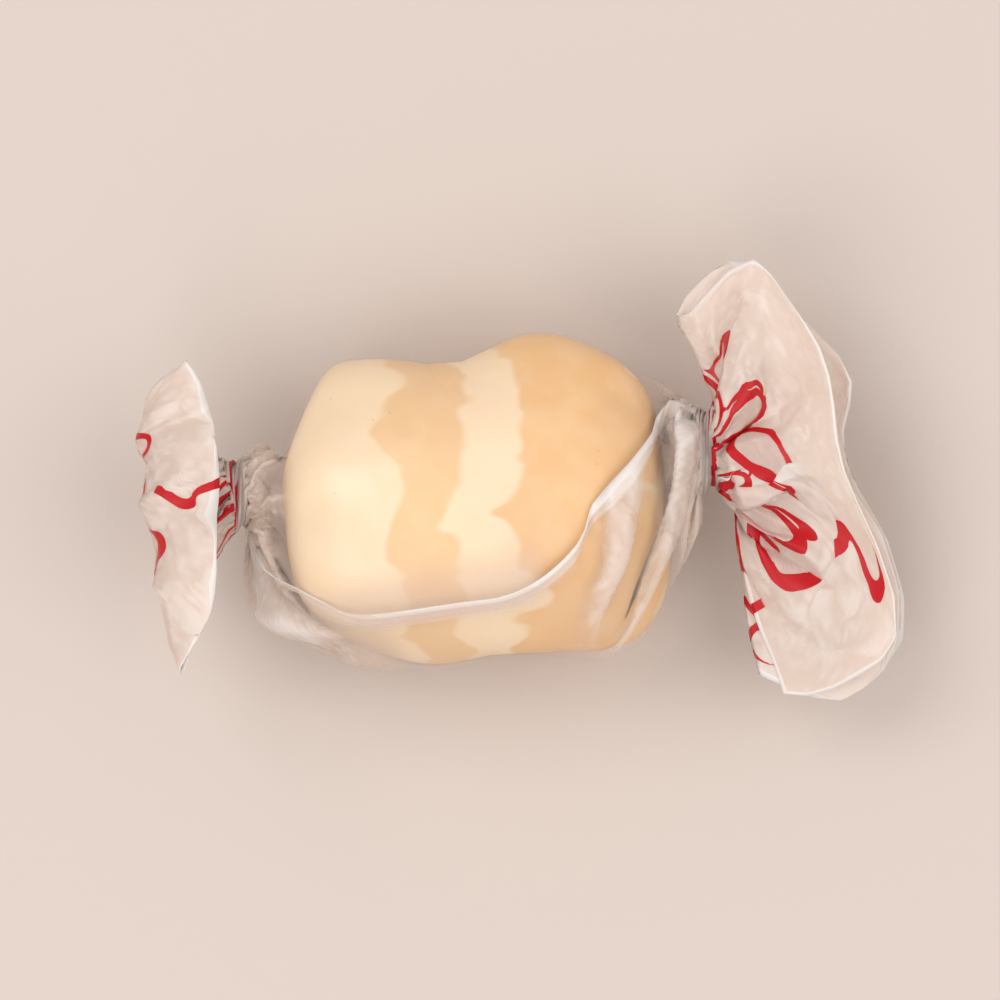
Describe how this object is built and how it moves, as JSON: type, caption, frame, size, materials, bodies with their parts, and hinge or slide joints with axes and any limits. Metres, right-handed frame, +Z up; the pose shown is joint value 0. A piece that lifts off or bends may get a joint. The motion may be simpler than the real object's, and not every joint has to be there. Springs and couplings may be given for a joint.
{
  "type": "wrapped salt water taffy",
  "caption": "Barrel-shaped soft sweet with two-tone bands, rolled in a sheet of translucent waxed paper that laps over itself and is twisted shut at both ends.",
  "frame": {"origin": "middle of the flat spot on the paper's outer face that the sweet rests on", "axes": "+X from the smaller tail to the larger one along the sweet, +Y away from the side where the free edge of the paper shows, +Z up"},
  "size_m": [0.0556, 0.0321, 0.0203],
  "materials": {
    "striped_sugar": "soft pulled sugar in bands of cream and tan, satin where the paper clings to it",
    "waxed_paper": null
  },
  "bodies": {
    "root": {"taffy": "striped_sugar", "wrapper": "waxed_paper"}
  },
  "joints": []
}
